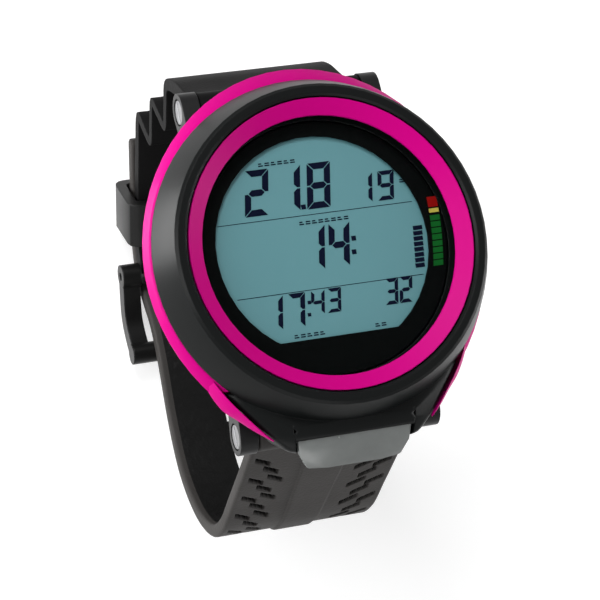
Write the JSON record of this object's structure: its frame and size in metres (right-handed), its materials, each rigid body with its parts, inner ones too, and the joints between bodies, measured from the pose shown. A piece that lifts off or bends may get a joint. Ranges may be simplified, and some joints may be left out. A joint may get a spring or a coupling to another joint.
{
  "type": "wrist dive computer",
  "caption": "Round wrist dive computer with a display, one front button and a bayonet battery cover, on a bellows rubber strap closed by a buckle.",
  "frame": {"origin": "centre of the case back, where the case lies on the wrist", "axes": "+Z out of the display, +Y to twelve o'clock, +X to three o'clock"},
  "size_m": [0.0684, 0.0919, 0.0926],
  "materials": {
    "dark_satin": "satin dark grey",
    "black_plastic": "satin black",
    "magenta": "satin magenta",
    "lens_glass": "polished clear",
    "mask_black": "black print",
    "lcd_grey": "teal-grey display",
    "milky": "milky diffuser",
    "board_green": "solder mask",
    "seal_rubber": "matt black",
    "strap_rubber": "moulded matt",
    "smoke_plastic": "smoked translucent",
    "steel": "stainless",
    "gold": "plated",
    "pale_plastic": "natural"
  },
  "bodies": {
    "case": {"bezel": "dark_satin", "inner_ring": "magenta", "lens": "lens_glass", "lens_gasket": "seal_rubber", "display_mask": "mask_black", "lcd_panel": "lcd_grey", "light_guide": "milky", "lcd_holder": "pale_plastic", "contact_strip": "seal_rubber", "circuit_board": "board_green", "belt_ring": "magenta", "case_body": "black_plastic", "case_seal": "seal_rubber", "sensor_seal": "seal_rubber", "stem_seal": "seal_rubber", "battery_cell": "steel", "battery_contact_top": "steel", "battery_contact_side": "steel", "case_screw_1": "steel", "case_screw_2": "steel", "case_screw_3": "steel", "case_screw_4": "steel", "data_contact_left": "gold", "data_contact_middle": "gold", "data_contact_right": "gold", "pressure_sensor": "steel", "sensor_grille": "black_plastic", "buzzer": "gold", "button_spring": "steel", "push_switch": "black_plastic", "lug_pin_upper": "steel", "lug_screw_upper": "steel", "lug_pin_lower": "steel", "lug_screw_lower": "steel", "strap_short": "strap_rubber", "strap_long": "strap_rubber"},
    "button": {"button_cap": "smoke_plastic", "button_stem": "steel", "stem_clip": "steel", "switch_plunger": "pale_plastic"},
    "cover": {"battery_cover": "black_plastic", "battery_seal": "seal_rubber"},
    "buckle": {"buckle_frame": "black_plastic", "buckle_pin": "steel"},
    "tongue": {"buckle_tongue": "steel"},
    "loop": {"keeper": "strap_rubber"}
  },
  "joints": [
    {"name": "button_slide", "type": "slide", "parent": "case", "child": "button", "axis": [0, 1, 0], "range_m": [0, 0.0012], "stiffness_N_per_m": 600, "springref_m": -0.001, "deforming": ["button_spring"]},
    {"name": "cover_turn", "type": "hinge", "parent": "case", "child": "cover", "pos_m": [0, 0, 0.0009], "axis": [0, 0, 1], "range_deg": [0, 52]},
    {"name": "buckle_pivot", "type": "hinge", "parent": "case", "child": "buckle", "pos_m": [0, 0.0115, -0.065], "axis": [1, 0, 0], "range_deg": [0, 6]},
    {"name": "tongue_pivot", "type": "hinge", "parent": "buckle", "child": "tongue", "pos_m": [0, 0.0115, -0.065], "axis": [1, 0, 0], "range_deg": [0, 8]},
    {"name": "keeper_slide", "type": "slide", "parent": "case", "child": "loop", "axis": [0, 0.809, 0.5878], "range_m": [-0.002, 0.002]}
  ]
}
